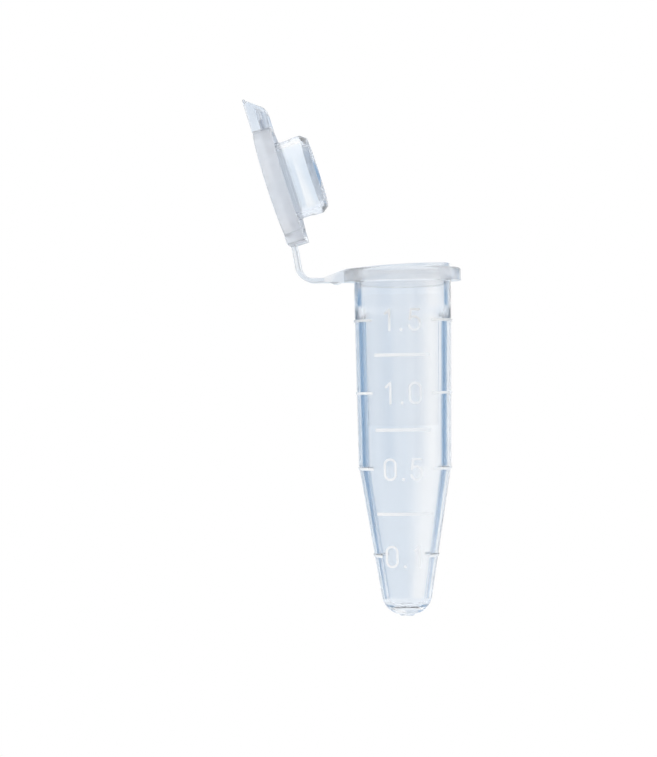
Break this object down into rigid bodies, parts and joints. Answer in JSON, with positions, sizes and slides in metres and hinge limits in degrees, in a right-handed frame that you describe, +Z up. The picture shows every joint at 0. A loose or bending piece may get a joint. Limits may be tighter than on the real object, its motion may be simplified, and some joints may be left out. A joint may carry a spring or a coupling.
{
  "type": "microcentrifuge tube",
  "caption": "Clear conical-bottomed laboratory tube with raised volume marks, a collar, and a hinged snap lid whose hollow plug closes the mouth.",
  "frame": {"origin": "on the tube's axis in the plane of the collar's underside, where the tube hangs in a rack", "axes": "+Z up along the tube's axis, out of the mouth; -X towards the hinge; -Y towards the side with the volume numbers"},
  "size_m": [0.0241, 0.013, 0.0577],
  "materials": {
    "clear_wall": "natural clear polypropylene, polished",
    "raised_marks": "natural clear polypropylene, raised 0.12 mm",
    "strap": "natural clear polypropylene, thin and flexible",
    "lid": "natural polypropylene, lightly frosted top and skirt",
    "plug": "natural clear polypropylene, polished"
  },
  "bodies": {
    "tube": {"rim_collar": "clear_wall", "neck_wall": "clear_wall", "barrel_wall": "clear_wall", "cone_wall": "clear_wall", "gate_disc": "clear_wall", "mouth_lip": "clear_wall", "hinge_tongue": "strap", "root_rib": "strap", "strap_root_tube": "strap", "numeral_1_5": "raised_marks", "numeral_1_0": "raised_marks", "numeral_0_5": "raised_marks", "numeral_0_1": "raised_marks", "bar_upper": "raised_marks", "bar_middle": "raised_marks", "bar_lower": "raised_marks", "ticks_1_5": "raised_marks", "ticks_1_0": "raised_marks", "ticks_0_5": "raised_marks", "ticks_0_1": "raised_marks"},
    "link_1": {"strap_link_1": "strap"},
    "link_2": {"strap_link_2": "strap"},
    "lid": {"strap_root_lid": "strap", "lid_plate": "lid", "lid_skirt": "lid", "thumb_tab": "lid", "tab_bead": "lid", "ejector_mark": "lid", "plug_shoulder": "plug", "plug_wall": "plug", "seal_bead": "plug"}
  },
  "joints": [
    {"name": "lid_swing", "type": "hinge", "parent": "tube", "child": "link_1", "pos_m": [-0.0091, 0, 0.00025], "axis": [0, -1, 0], "range_deg": [-39.28, 26.95], "stiffness_Nm_per_rad": 0.002},
    {"name": "strap_crease_2", "type": "hinge", "parent": "link_1", "child": "link_2", "pos_m": [-0.01102, 0, 0.00066], "axis": [0, -1, 0], "range_deg": [-37.1, 25.46], "stiffness_Nm_per_rad": 0.002119},
    {"name": "strap_crease_3", "type": "hinge", "parent": "link_2", "child": "lid", "pos_m": [-0.01194, 0, 0.00369], "axis": [0, -1, 0], "range_deg": [-30.42, 20.88], "stiffness_Nm_per_rad": 0.002584}
  ],
  "couplings": [
    {"joint": "strap_crease_2", "follows": "lid_swing", "ratio": 0.94398},
    {"joint": "strap_crease_3", "follows": "lid_swing", "ratio": 0.77392}
  ]
}
